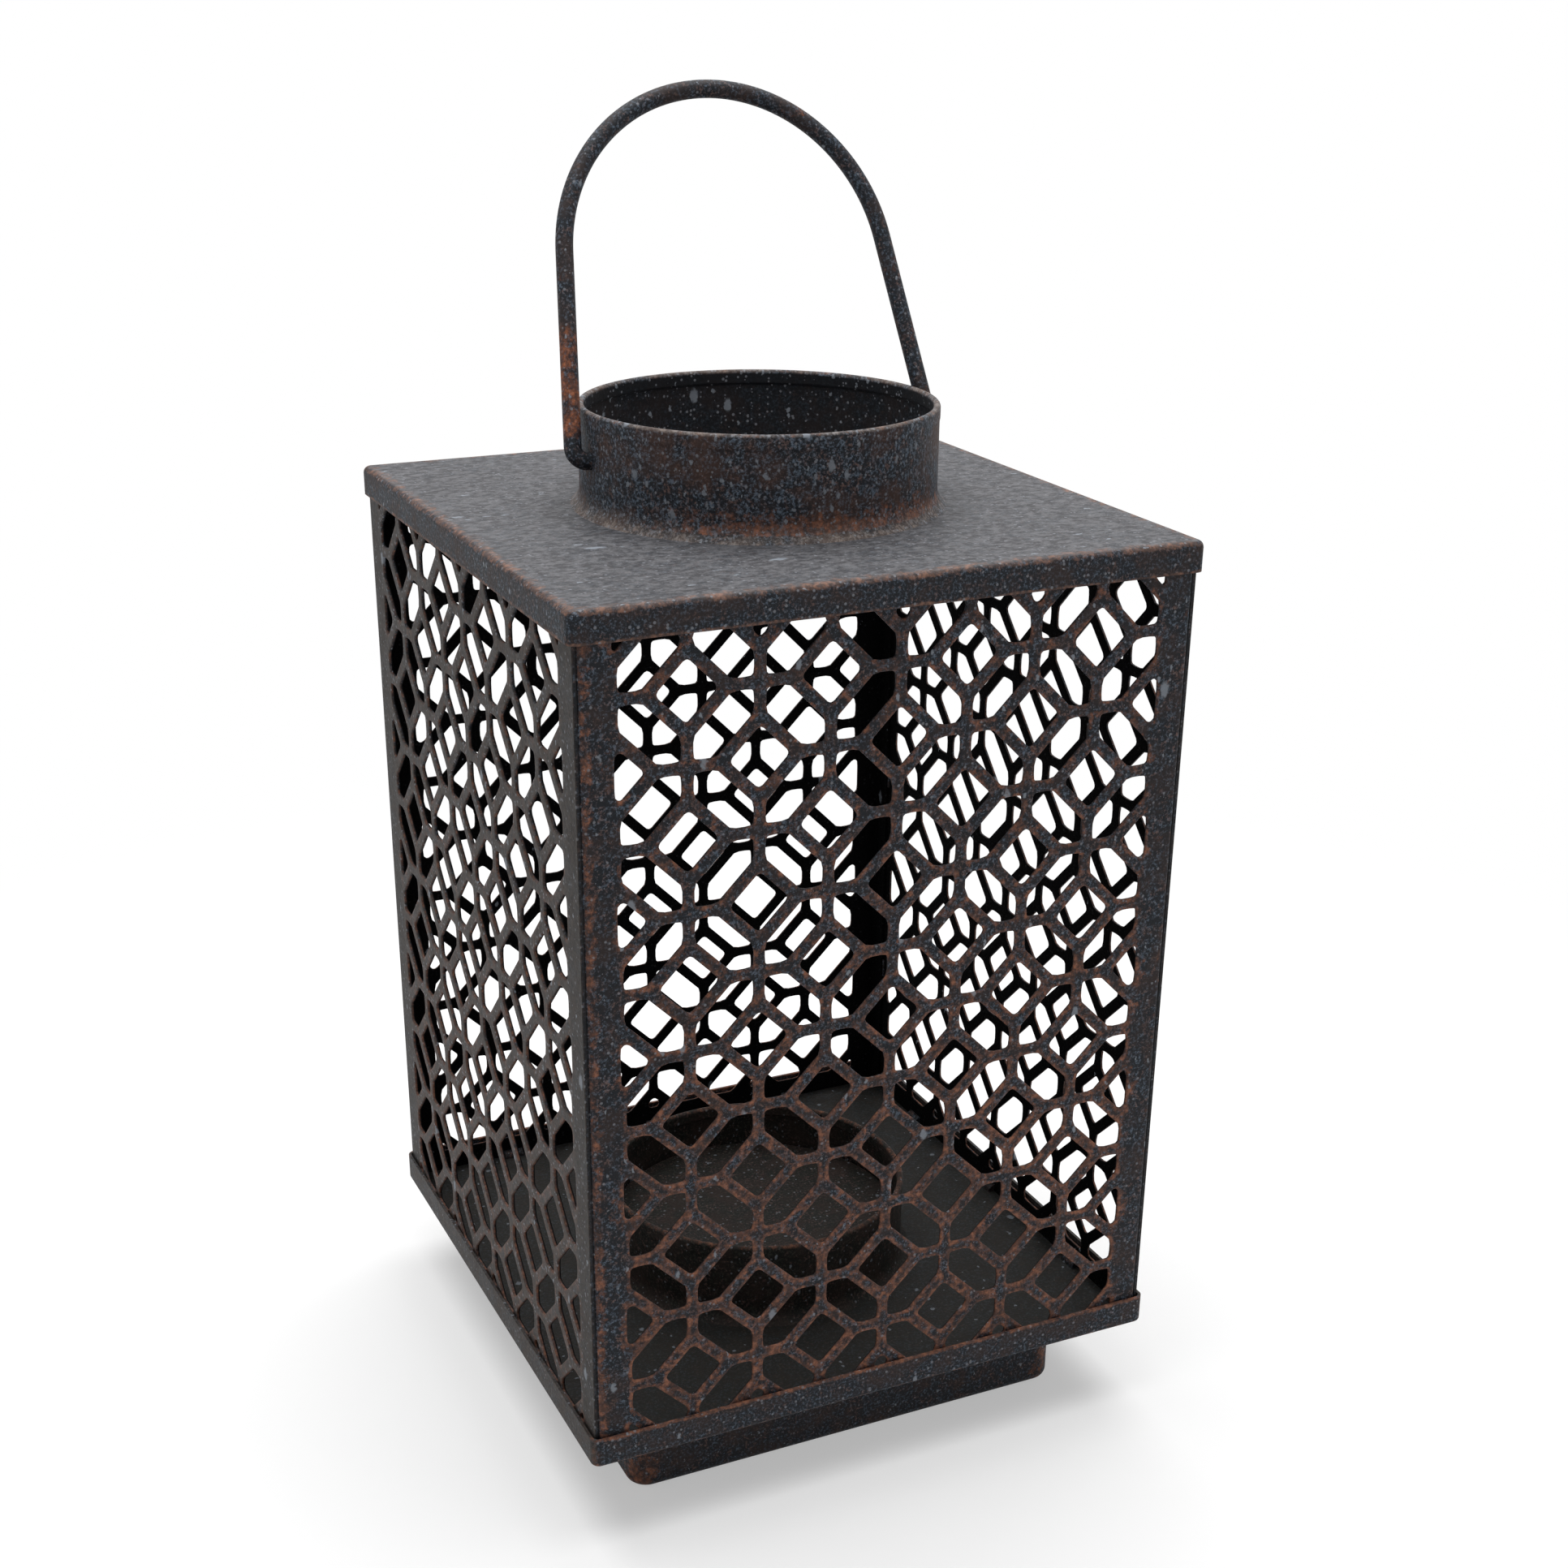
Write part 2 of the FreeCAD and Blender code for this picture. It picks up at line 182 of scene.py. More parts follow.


# rust on the lid's edges and corners, painted shade on its underside and behind its skirt, and on its top a film that
# is dust and painted top light
def lidAreas(tree, spot):
    topEdge = times(tree, zone(tree, spot, *lidWear["topEdge"]), zone(tree, spot, *lidWear["upperPart"]))
    rust = most(tree, zone(tree, spot, *lidWear["lowEdge"]), topEdge, zone(tree, spot, *lidWear["corner"]))
    inside = times(tree, zone(tree, spot, *lidWear["behindSkirt"]), zone(tree, spot, *lidWear["underTop"]))
    return {"rust": rust, "inside": inside, "film": zone(tree, spot, *lidWear["topFace"])}


trayWear = {
    "topEdge": ("z", 31.9, 33.2, 0.0, 0.9), "lessAtSides": ("absY", 79.0, 82.0, 0.3, 1.0),
    "lowEdge": ("z", 26.4, 25.2, 0.0, 0.6), "corner": ("nearest", 80.2, 82.7, 0.0, 0.8),
    "outerFace": ("farthest", 82.0, 82.5), "innerFace": ("farthest", 82.45, 82.2),
    "sideFace": ("absX", 82.0, 82.5, 0.0, 0.8),
}


# rust on the lip's edges and corners, a dim olive painted shade on the inner faces, and a film of dust and painted
# sheen on the side faces
def trayAreas(tree, spot):
    topEdge = times(tree, zone(tree, spot, *trayWear["topEdge"]), zone(tree, spot, *trayWear["lessAtSides"]))
    rust = most(tree, topEdge, zone(tree, spot, *trayWear["lowEdge"]), zone(tree, spot, *trayWear["corner"]))
    return {"rust": times(tree, rust, zone(tree, spot, *trayWear["outerFace"])),
            "inside": zone(tree, spot, *trayWear["innerFace"]), "film": zone(tree, spot, *trayWear["sideFace"])}


footWear = {"corner": ("nearest", 53.2, 62.2, 0.0, 0.7)}


# rust on the rounded corners
def footAreas(tree, spot):
    return {"rust": zone(tree, spot, *footWear["corner"])}


collarWear = {
    "lowBand": ("z", 262.0, 254.0, 0.0, 0.72), "aboveLid": ("z", 251.6, 252.6),
    "frontHalf": ("y", -12.0, -40.0, 0.3, 1.0), "rim": ("z", 275.6, 276.2), "rimRust": 0.4,
    "innerFace": ("radius", 46.0, 45.6), "underRim": ("z", 276.0, 275.4),
    "flare": ("z", 253.0, 251.8), "overFlare": ("z", 256.5, 251.5, 0.0, 0.55),
}


# rust above the flared foot, most of it in front, painted shade on the inner face below the rim, and film on flare and
# rim: dust and painted sheen on the flare, and a painted highlight on the rim
def collarAreas(tree, spot):
    base = times(tree, zone(tree, spot, *collarWear["lowBand"]), zone(tree, spot, *collarWear["aboveLid"]),
                 zone(tree, spot, *collarWear["frontHalf"]))
    rim = zone(tree, spot, *collarWear["rim"])
    inside = times(tree, zone(tree, spot, *collarWear["innerFace"]), zone(tree, spot, *collarWear["underRim"]))
    flare = most(tree, zone(tree, spot, *collarWear["flare"]), zone(tree, spot, *collarWear["overFlare"]))
    return {"rust": most(tree, base, times(tree, rim, collarWear["rimRust"])), "inside": inside,
            "film": most(tree, flare, rim)}


cupWear = {"rim": ("z", 48.6, 50.2, 0.0, 0.6)}


# rust on the cup's rim
def cupAreas(tree, spot):
    return {"rust": zone(tree, spot, *cupWear["rim"])}


bailWear = {
    "fromAbove": ("z", 308.0, 292.0), "fromBelow": ("z", 266.0, 275.0), "leftLeg": ("x", -30.0, -44.0, 0.0, 0.7),
    "everywhere": 0.2,
}


# rust on the lower part of the left leg, and a little everywhere
def bailAreas(tree, spot):
    band = times(tree, zone(tree, spot, *bailWear["fromAbove"]), zone(tree, spot, *bailWear["fromBelow"]))
    leg = times(tree, zone(tree, spot, *bailWear["leftLeg"]), band)
    return {"rust": most(tree, leg, bailWear["everywhere"])}


plainWear = {"everywhere": 0.3}


# the same little rust everywhere
def plainAreas(tree, spot):
    return {"rust": plainWear["everywhere"]}


# paint

# Charcoal paint: dense pale speckle on a blue-black ground, brown mottling, a
# cloudy film that is dust and painted sheen, rust that breaks through where its
# mask and a patchy noise add up to more than a threshold, painted shade that
# darkens inner faces, and pale flecks, specks and dots on top.
def agedPaint(name, areas, **changes):
    look = {**paint, **changes}
    material = bpy.data.materials.new(name)
    material.use_nodes = True
    tree = material.node_tree
    tree.nodes.clear()
    spot = objectPlace(tree)
    place = spot["place"]
    masks = {"inside": 0.0, "film": 0.0, **areas(tree, spot)}

    fine = noise(tree, place, look["speckleScale"], detail=2.0, rough=0.75)
    broad = noise(tree, place, look["mottleScale"], detail=3.0, rough=0.6)
    patch = noise(tree, place, look["rustScale"], detail=6.0, rough=0.7)
    tint = ramp(tree, noise(tree, place, look["tintScale"], detail=2.0, rough=0.6), *look["tintRange"])
    grain = mixColour(tree, tint, fromSrgb(*look["speckle"]), fromSrgb(*look["warmSpeckle"]))
    colour = mixColour(tree, ramp(tree, fine, *look["speckleRange"]), fromSrgb(*look["ground"]), grain)
    brown = ramp(tree, broad, *look["mottleRange"], 0.0, look["mottleAmount"])
    colour = mixColour(tree, brown, colour, fromSrgb(*look["mottle"]))

    # a pale film, partly dust and partly painted light: the flat warm tone of the side faces, the lighter lid top and
    # the collar rim's pale highlight line
    streaks = addNode(tree, "ShaderNodeMapping", {"Vector": place, "Scale": look["cloudStretch"]}).outputs[0]
    cloud = ramp(tree, noise(tree, streaks, look["cloudScale"], detail=4.0, rough=0.75), *look["cloudRange"])
    film = mixColour(tree, cloud, fromSrgb(*look["filmDark"]), fromSrgb(*look["filmLight"]))
    covered = times(tree, masks["film"], ramp(tree, broad, *look["filmThinRange"], look["filmThin"], 1.0),
                    ramp(tree, fine, *look["filmGrainRange"], look["filmGrain"], 1.0))
    colour = mixColour(tree, times(tree, covered, look["filmAmount"]), colour, film)

    worn = calc(tree, "MULTIPLY_ADD", masks["rust"], look["wearWeight"], times(tree, patch, look["patchWeight"]))
    bare = calc(tree, "MULTIPLY_ADD", covered, -look["filmHides"], 1.0)
    rustEnd = look["rustFrom"] + look["rustSoft"]
    rust = times(tree, ramp(tree, worn, look["rustFrom"], rustEnd, 0.0, look["rustAmount"]), bare)
    rustTint = ramp(tree, noise(tree, place, look["rustTintScale"], detail=3.0, rough=0.7), *look["rustTintRange"])
    rustColour = mixColour(tree, rustTint, fromSrgb(*look["rustDark"]), fromSrgb(*look["rustLight"]))
    colour = mixColour(tree, rust, colour, rustColour)

    # flecks are stretched cells on slightly bent coordinates, and specks are finer ones
    bend = addNode(tree, "ShaderNodeTexNoise", {"Vector": place, "Scale": look["bendScale"], "Detail": 2.0})
    shift = addNode(tree, "ShaderNodeVectorMath", {0: bend.outputs["Color"], "Scale": look["bendReach"]},
                    operation="SCALE").outputs[0]
    bent = addNode(tree, "ShaderNodeVectorMath", {0: place, 1: shift}, operation="ADD").outputs[0]
    stretched = addNode(tree, "ShaderNodeMapping", {"Vector": bent, "Rotation": look["fleckTurn"],
                                                   "Scale": look["fleckStretch"]}).outputs[0]
    large = flecks(tree, stretched, look["fleckScale"], look["fleckShare"], look["fleckSize"])
    small = flecks(tree, stretched, look["speckScale"], look["speckShare"], look["speckSize"])
    spots = most(tree, large, small)
    dots = flecks(tree, place, look["dotScale"], look["dotShare"], look["dotSize"])
    # painted shade: inner faces are mixed towards a dark shade colour, and most dots are left off them
    sooty = times(tree, masks["inside"], look["insideAmount"])
    colour = mixColour(tree, sooty, colour, fromSrgb(*look["insideColour"]))
    shown = calc(tree, "MULTIPLY_ADD", masks["inside"], look["insideDots"] - 1.0, 1.0)
    colour = mixColour(tree, times(tree, dots, look["dotAmount"], shown), colour, fromSrgb(*look["dot"]))
    colour = mixColour(tree, times(tree, spots, look["fleckAmount"]), colour, fromSrgb(*look["fleck"]))

    texture = noise(tree, place, look["reliefScale"], detail=3.0, rough=0.6)
    relief = calc(tree, "MULTIPLY_ADD", spots, look["fleckHeight"], texture)
    bump = addNode(tree, "ShaderNodeBump", {"Height": relief, "Strength": look["bump"], "Distance": look["bumpDepth"]})
    rough = calc(tree, "MULTIPLY_ADD", broad, look["roughSpread"], look["leastRough"])
    shader = addNode(tree, "ShaderNodeBsdfPrincipled", {"Base Color": colour, "Roughness": rough,
                                                       "Specular IOR Level": look["gloss"],
                                                       "Normal": bump.outputs[0]})
    addNode(tree, "ShaderNodeOutputMaterial", {"Surface": shader.outputs[0]})
    return material


# colours are screen colours, scales are in cells for each metre, and ranges
# are the noise values between which something goes from none to all. The film's
# colours are dust and painted sheen, and the inside colour is painted shade.
paint = {
    "ground": (22, 25, 30), "speckle": (84, 95, 108), "warmSpeckle": (102, 82, 77), "speckleScale": 1250.0,
    "speckleRange": (0.46, 0.72), "tintScale": 420.0, "tintRange": (0.45, 0.66),
    "mottle": (54, 42, 38), "mottleScale": 110.0, "mottleRange": (0.42, 0.66), "mottleAmount": 0.55,
    "filmDark": (42, 38, 35), "filmLight": (70, 63, 57), "filmAmount": 0.75, "filmThin": 0.85,
    "filmThinRange": (0.4, 0.56), "filmGrain": 1.0, "filmGrainRange": (0.38, 0.6), "filmHides": 0.72,
    "cloudScale": 560.0, "cloudStretch": (0.7, 1.0, 1.0), "cloudRange": (0.36, 0.66),
    "rustDark": (84, 58, 48), "rustLight": (148, 97, 73), "rustScale": 320.0, "rustFrom": 0.6, "rustSoft": 0.2,
    "rustAmount": 0.8, "rustTintScale": 700.0, "rustTintRange": (0.4, 0.68), "wearWeight": 0.36, "patchWeight": 0.9,
    "fleck": (128, 134, 142), "fleckStretch": (1.0, 1.0, 0.55), "fleckTurn": (0.12, 0.1, 0.05), "fleckScale": 200.0,
    "fleckShare": 0.12, "fleckSize": 0.24, "fleckAmount": 0.75, "bendScale": 800.0, "bendReach": 0.0016,
    "speckScale": 520.0, "speckShare": 0.12, "speckSize": 0.264,
    "dot": (122, 124, 130), "dotScale": 1000.0, "dotShare": 0.16, "dotSize": 0.42, "dotAmount": 0.65,
    "insideColour": (12, 12, 13), "insideAmount": 0.92, "insideDots": 0.1,
    "bump": 0.5, "bumpDepth": 0.0003, "fleckHeight": 0.5, "reliefScale": 875.0, "leastRough": 0.48,
    "roughSpread": 0.25, "gloss": 0.17,
}

# painted light in the finishes: the lid's pale top film is dust and painted top light, the collar's near-black inner
# colour and the tray's dim olive inner colour are painted shade, and the collar's pale rim film is a painted highlight
finishes = {
    "panel_paint": agedPaint("panelPaint", panelAreas),
    "lid_paint": agedPaint("lidPaint", lidAreas, filmDark=(52, 52, 55), filmLight=(96, 96, 99), filmAmount=0.88,
                           filmHides=0.0, rustDark=(78, 62, 56), rustLight=(132, 97, 81),
                           fleckStretch=(0.4, 1.0, 1.0), fleckShare=0.07, speckShare=0.07),
    "collar_paint": agedPaint("collarPaint", collarAreas, insideColour=(5, 7, 12), insideAmount=0.95,
                              insideDots=0.9, dotShare=0.34, dotAmount=0.75, fleckShare=0.26, speckShare=0.5,
                              speckle=(98, 110, 124), speckleRange=(0.43, 0.69), mottle=(76, 56, 48),
                              mottleScale=70.0, mottleAmount=0.6, filmDark=(76, 68, 64),
                              filmLight=(134, 124, 117), filmThin=0.35, filmGrain=0.35, filmHides=0.55),
    "tray_paint": agedPaint("trayPaint", trayAreas, insideColour=(38, 37, 33), insideAmount=0.75),
    "foot_paint": agedPaint("footPaint", footAreas, ground=(17, 18, 22), speckle=(76, 86, 98)),
    "cup_paint": agedPaint("cupPaint", cupAreas, ground=(24, 24, 22), speckle=(60, 60, 54)),
    "bail_paint": agedPaint("bailPaint", bailAreas, rustDark=(92, 58, 44), rustLight=(166, 100, 66), rustScale=170.0),
    "weld": agedPaint("weldPaint", plainAreas, ground=(30, 30, 32), bump=0.9),
}
# painted shade: near-black paint for the panels' inner faces, which lie in shade inside the lantern
sootyInside = agedPaint("sootyInside", plainAreas, ground=(7, 7, 8), speckle=(20, 21, 23), warmSpeckle=(22, 19, 18),
                        mottle=(12, 11, 11), dot=(40, 40, 42), fleckShare=0.04, speckShare=0.04, rustAmount=0.0,
                        leastRough=0.73, gloss=0.03)
slotOf = {part["node"]: part["material_slot"] for part in frame["record"]["subparts"]}
for name, obj in frame["nodes"].items():
    obj.data.materials.clear()
    obj.data.materials.append(finishes[slotOf[name]])
print("finishes assigned")


# mesh helpers

millimetre = 0.001  # in metres
gridSteps = 1e4  # for each millimetre


# Points in millimetres and quads make one object at the origin. Points that
# round to the same tenth of a micron become one, quads become triangles, and
# triangles with two equal corners are dropped.
def addSurface(name, points, quads, marks, slot, inside=None, sharpAngle=35.0):
    keys, first, index = np.unique(np.round(points * gridSteps).astype(np.int64), axis=0, return_index=True,
                                   return_inverse=True)
    joined = index.reshape(-1)[quads]
    triangles = np.concatenate([joined[:, [0, 1, 2]], joined[:, [0, 2, 3]]])
    same = (triangles == np.roll(triangles, 1, axis=1)).any(axis=1)
    triangles = triangles[~same]
    mesh = bpy.data.meshes.new(name)
    mesh.from_pydata((points[first] * millimetre).tolist(), [], triangles.tolist())
    for mark, values in marks.items():
        mesh.attributes.new(mark, "FLOAT", "POINT").data.foreach_set("value", values[first].astype(np.float32))
    mesh.polygons.foreach_set("use_smooth", np.ones(len(triangles), bool))
    mesh.set_sharp_from_angle(angle=math.radians(sharpAngle))
    mesh.materials.append(finishes[slot])
    # painted shade: faces whose corners all carry the shade mark get the second, near-black material
    if inside:
        mesh.materials.append(inside)
        hidden = (marks["shade"][first][triangles] > 0.5).all(axis=1)
        mesh.polygons.foreach_set("material_index", hidden.astype(np.int32))
    obj = bpy.data.objects.new(name, mesh)
    bpy.context.scene.collection.objects.link(obj)
    print(name + ":", len(triangles), "triangles")
    return obj


# quads between the rows of a grid of points, numbered from start
def gridQuads(rows, columns, start=0, closed=False):
    last = columns if closed else columns - 1
    row, column = np.meshgrid(np.arange(rows - 1), np.arange(last), indexing="ij")
    ahead = (column + 1) % columns
    corners = np.stack([row * columns + column, row * columns + ahead, (row + 1) * columns + ahead,
                        (row + 1) * columns + column], axis=-1)
    return corners.reshape(-1, 4) + start


# pierced panels, in millimetres

panels = {
    "pitch": 18.25, "diamondShare": 0.56, "armWidth": 2.9, "diagonalWidth": 3.2, "holeCorner": 1.4, "leastHole": 2.3,
    "bodyHalf": 81.9, "sheet": 1.0, "height": 223.7, "floorLevel": 25.8, "sideBorder": 9.2, "endBorder": 6.4,
    "foldRadius": 1.4, "foldFlange": 5.6, "foldSteps": 8, "seamSetback": 0.7, "edgeRound": 0.3,
    "edgeAngles": (0, 30, 60, 90), "wornBand": 0.75, "sampleStep": 1.7, "cornerTries": (1.0, 0.7, 0.45, 0.25),
    "leastCell": 0.01, "leastMiddle": 0.05, "leastSide": 1e-4, "halvings": 26,
    "barHalf": 1.6, "barRust": 0.5, "bandRust": 0.62, "wallRust": 0.85, "backRust": 0.2, "foldRust": 0.1,
    "plainRust": 0.05, "shadeDepth": 0.6, "shadeBehindFold": 1.5, "shadeOffFold": 0.3,
}
tiny = 1e-6  # shorter lengths count as none


# the part of a convex polygon on the near side of the line a u + b v = c
def clipPolygon(points, a, b, c):
    kept = []
    for index, here in enumerate(points):
        before = points[index - 1]
        sideBefore = a * before[0] + b * before[1] - c
        sideHere = a * here[0] + b * here[1] - c
        if sideBefore * sideHere < 0:
            t = sideBefore / (sideBefore - sideHere)
            kept.append((before[0] + t * (here[0] - before[0]), before[1] + t * (here[1] - before[1])))
        if sideHere <= 0:
            kept.append(here)
    return kept


# a rectangle about the origin
def rectangle(halfU, halfV):
    return [(-halfU, -halfV), (halfU, -halfV), (halfU, halfV), (-halfU, halfV)]


# half the sum of the cross products of neighbouring corners
def polygonArea(points):
    corners = np.array(points)
    ahead = np.roll(corners, -1, axis=0)
    return 0.5 * (corners[:, 0] * ahead[:, 1] - ahead[:, 0] * corners[:, 1]).sum() if len(points) > 2 else 0.0


# the pattern's cells: squares turned on their corners at every other lattice
# point, and the six-sided gaps between them. A line is a, b, c and the half
# width of the bar that runs along it.
def latticeCells(halfU, halfV):
    pitch = panels["pitch"]
    reach = panels["diamondShare"] * pitch
    arm = panels["armWidth"] / 2
    diagonal = panels["diagonalWidth"] / 2 * math.sqrt(2)
    columns, rows = math.ceil(halfU / pitch) + 1, math.ceil(halfV / pitch) + 1
    cells = []
    for i in range(-columns, columns + 1):
        for j in range(-rows, rows + 1):
            u, v = i * pitch, j * pitch
            even = (i + j) % 2 == 0
            if even:
                cells.append([(a, b, a * u + b * v + reach, diagonal) for a, b in ((1, 1), (1, -1), (-1, 1), (-1, -1))])
            sides = [(-1, 0, -u, arm), (0, -1, -v, arm), (1, 0, u + pitch, arm), (0, 1, v + pitch, arm)]
            if even:
                sides += [(-1, -1, -u - v - reach, diagonal), (1, 1, u + v + 2 * pitch - reach, diagonal)]
            else:
                sides += [(1, -1, u - v + pitch - reach, diagonal), (-1, 1, v - u + pitch - reach, diagonal)]
            cells.append(sides)
    return cells


# a polygon cut by a cell's lines, or by the same lines moved inwards by the
# bars' half widths and by shrink
def cellOutline(outline, lines, shrink=None):
    for a, b, c, half in lines:
        outline = clipPolygon(outline, a, b, c if shrink is None else c - half - shrink * math.hypot(a, b))
    return outline


# distance from points to a convex polygon, less than 0 inside it
def distanceTo(points, polygon):
    side = np.roll(polygon, -1, axis=0) - polygon
    offset = points[:, None] - polygon[None]
    along = np.clip((offset * side).sum(-1) / (side ** 2).sum(-1), 0, 1)
    gap = np.linalg.norm(offset - along[..., None] * side, axis=-1).min(axis=1)
    within = ((side[:, 0] * offset[..., 1] - side[:, 1] * offset[..., 0]) >= 0).all(axis=1)
    return np.where(within, -gap, gap)


# points along a polygon's sides, closer together near its corners
def sampleOutline(outline):
    corners = np.array(outline)
    samples = []
    for start, end in zip(corners, np.roll(corners, -1, axis=0)):
        length = np.linalg.norm(end - start)
        if length < tiny:
            continue
        count = max(2, math.ceil(length / panels["sampleStep"]))
        share = (1 - np.cos(np.pi * np.arange(count) / count)) / 2
        samples.append(start + share[:, None] * (end - start))
    return np.concatenate(samples)


# rings of level points, each at its own depth, as points (u, depth, v)
def ringPlaces(rings, depths):
    return np.array([np.column_stack([ring[:, 0], np.full(len(ring), depth), ring[:, 1]])
                     for ring, depth in zip(rings, depths)])


# one cell as rings of points: from the middle of the bars over the rounded
# front edge, through the hole's wall and back over the rear edge. A ring is
# where the distance to the hole's inner polygon has one value, found along
# rays from the hole's middle by halving. A cell without a hole is flat.
def cellRings(cell, halfU, halfV):
    outline = cellOutline(rectangle(halfU, halfV), cell)
    if polygonArea(outline) < panels["leastCell"]:
        return None
    windowU = panels["bodyHalf"] - panels["sideBorder"]
    windowV = halfV - panels["endBorder"]
    outer = sampleOutline(outline)
    thick = panels["sheet"]
    hole = cellOutline(rectangle(windowU, windowV), cell, 0.0)
    if polygonArea(hole) <= panels["leastHole"] ** 2:
        middle = np.repeat(outer.mean(axis=0)[None], len(outer), axis=0)
        places = ringPlaces([middle, outer, outer, middle], [0.0, 0.0, thick, thick])
        return places, np.full(places.shape[:2], panels["plainRust"]), True
    for share in panels["cornerTries"]:
        corner = share * panels["holeCorner"]
        inner = cellOutline(rectangle(windowU - corner, windowV - corner), cell, corner)
        if polygonArea(inner) > panels["leastMiddle"]:
            break
    inner = np.array(inner)
    inner = inner[np.linalg.norm(inner - np.roll(inner, 1, axis=0), axis=1) > panels["leastSide"]]
    centre = inner.mean(axis=0)
    edge = panels["edgeRound"]
    turn = np.radians(panels["edgeAngles"])
    front = [(corner + edge * (1 - math.sin(a)), edge * (1 - math.cos(a))) for a in turn]
    back = [(distance, thick - depth) for distance, depth in front[::-1]]
    levels = [(corner + edge + panels["wornBand"], 0.0)] + front + back
    onBar = 1 - (distanceTo(outer, inner) - corner - panels["barHalf"]) / panels["barHalf"]
    rings, wear = [outer], [panels["barRust"] * np.clip(onBar, 0, 1)]
    for number, (distance, depth) in enumerate(levels):
        low, high = np.zeros(len(outer)), np.ones(len(outer))
        for step in range(panels["halvings"]):
            middle = (low + high) / 2
            near = distanceTo(centre + middle[:, None] * (outer - centre), inner) < distance
            low, high = np.where(near, middle, low), np.where(near, high, middle)
        rings.append(centre + high[:, None] * (outer - centre))
        wear.append(np.full(len(outer), panels["bandRust"] if number == 0 else panels["wallRust"]))
    rings.append(outer)
    wear.append(np.full(len(outer), panels["backRust"]))
    depths = [0.0] + [depth for distance, depth in levels] + [thick]
    return ringPlaces(rings, depths), np.array(wear), False


# the flat pierced part of a panel, in front view: u to the right, depth
# backwards and v upwards about the panel's middle
def piercedSheet(halfU, closeSides):
    halfV = panels["height"] / 2
    points, quads, wear, edgeHeights, count = [], [], [], [], 0
    for cell in latticeCells(halfU, halfV):
        made = cellRings(cell, halfU, halfV)
        if made is None:
            continue
        places, worn, filled = made
        rings, around = places.shape[:2]
        numbers = gridQuads(rings, around, count, closed=True)
        if filled:
            numbers = np.concatenate([numbers[:around][:, ::-1], numbers[2 * around:][:, ::-1]])
            frontRow, backRow = count + around, count + 2 * around
        else:
            frontRow, backRow = count, count + (rings - 1) * around
        quads.append(numbers)
        outer = places[1 if filled else 0][:, [0, 2]]
        ahead = np.roll(outer, -1, axis=0)
        atRim = np.abs(outer) > np.array([halfU, halfV]) - tiny
        onRim = atRim & np.roll(atRim, -1, axis=0) & (outer * ahead > 0)  # in u and in v
        edgeHeights.append(outer[outer[:, 0] > halfU - tiny, 1])
        rim = np.flatnonzero(onRim.any(axis=1) if closeSides else onRim[:, 1])
        after = (rim + 1) % around
        quads.append(np.column_stack([frontRow + after, frontRow + rim, backRow + rim, backRow + after]))
        points.append(places.reshape(-1, 3))
        wear.append(worn.reshape(-1))
        count += rings * around
    heights = np.unique(np.round(np.concatenate(edgeHeights), 6))
    return np.concatenate(points), np.concatenate(quads), np.concatenate(wear), heights


# the fold at a front panel's right side: a quarter circle and a flange,
# carried up the panel through the same heights as the flat part's edge
def foldedEdge(halfU, heights, start):
    radius, thick = panels["foldRadius"], panels["sheet"]
    angle = np.linspace(0, np.pi / 2, panels["foldSteps"] + 1)
    outer = np.column_stack([halfU + radius * np.sin(angle), radius - radius * np.cos(angle)])
    inner = np.column_stack([halfU + (radius - thick) * np.sin(angle), radius - (radius - thick) * np.cos(angle)])
    outer = np.vstack([outer, [halfU + radius, radius + panels["foldFlange"]]])
    inner = np.vstack([inner, [halfU + radius - thick, radius + panels["foldFlange"]]])
    profile = np.vstack([outer, inner[::-1]])
    rows, columns = len(heights), len(profile)
    points = np.array([np.column_stack([profile, np.full(columns, height)]) for height in heights]).reshape(-1, 3)
    quads = gridQuads(rows, columns, start)
    steps = np.arange(len(outer) - 1)
    low = np.column_stack([steps, columns - 1 - steps, columns - 2 - steps, steps + 1])
    high = low[:, ::-1] + (rows - 1) * columns
    return points, np.concatenate([quads, low + start, high + start])


# a panel in the front panel's place: the flat part, the two folds if it has
# them, and the marks for wear and for the inner faces that get painted shade
def frontFacing(folded):
    radius = panels["foldRadius"]
    setback = panels["sheet"] + radius if folded else panels["seamSetback"]
    halfU = panels["bodyHalf"] - setback
    points, quads, wear, heights = piercedSheet(halfU, not folded)
    # painted shade: the sheet's back faces are marked for the near-black inner paint
    shade = points[:, 1] > panels["sheet"] * panels["shadeDepth"]
    if folded:
        extra, extraQuads = foldedEdge(halfU, heights, len(points))
        mirrored = extra * [-1, 1, 1]
        mirroredQuads = extraQuads[:, ::-1] + len(extra)
        points = np.concatenate([points, extra, mirrored])
        quads = np.concatenate([quads, extraQuads, mirroredQuads])
        wear = np.concatenate([wear, np.full(2 * len(extra), panels["foldRust"])])
        # painted shade: the fold's inner face and the flange behind it are marked too
        offFold = np.abs(np.hypot(extra[:, 0] - halfU, extra[:, 1] - radius) - radius)
        inner = (extra[:, 1] > radius + panels["shadeBehindFold"]) | (offFold > panels["shadeOffFold"])
        shade = np.concatenate([shade, inner, inner])
    middle = panels["floorLevel"] + panels["height"] / 2
    return points + [0, -panels["bodyHalf"], middle], quads, {"wear": wear, "shade": shade}


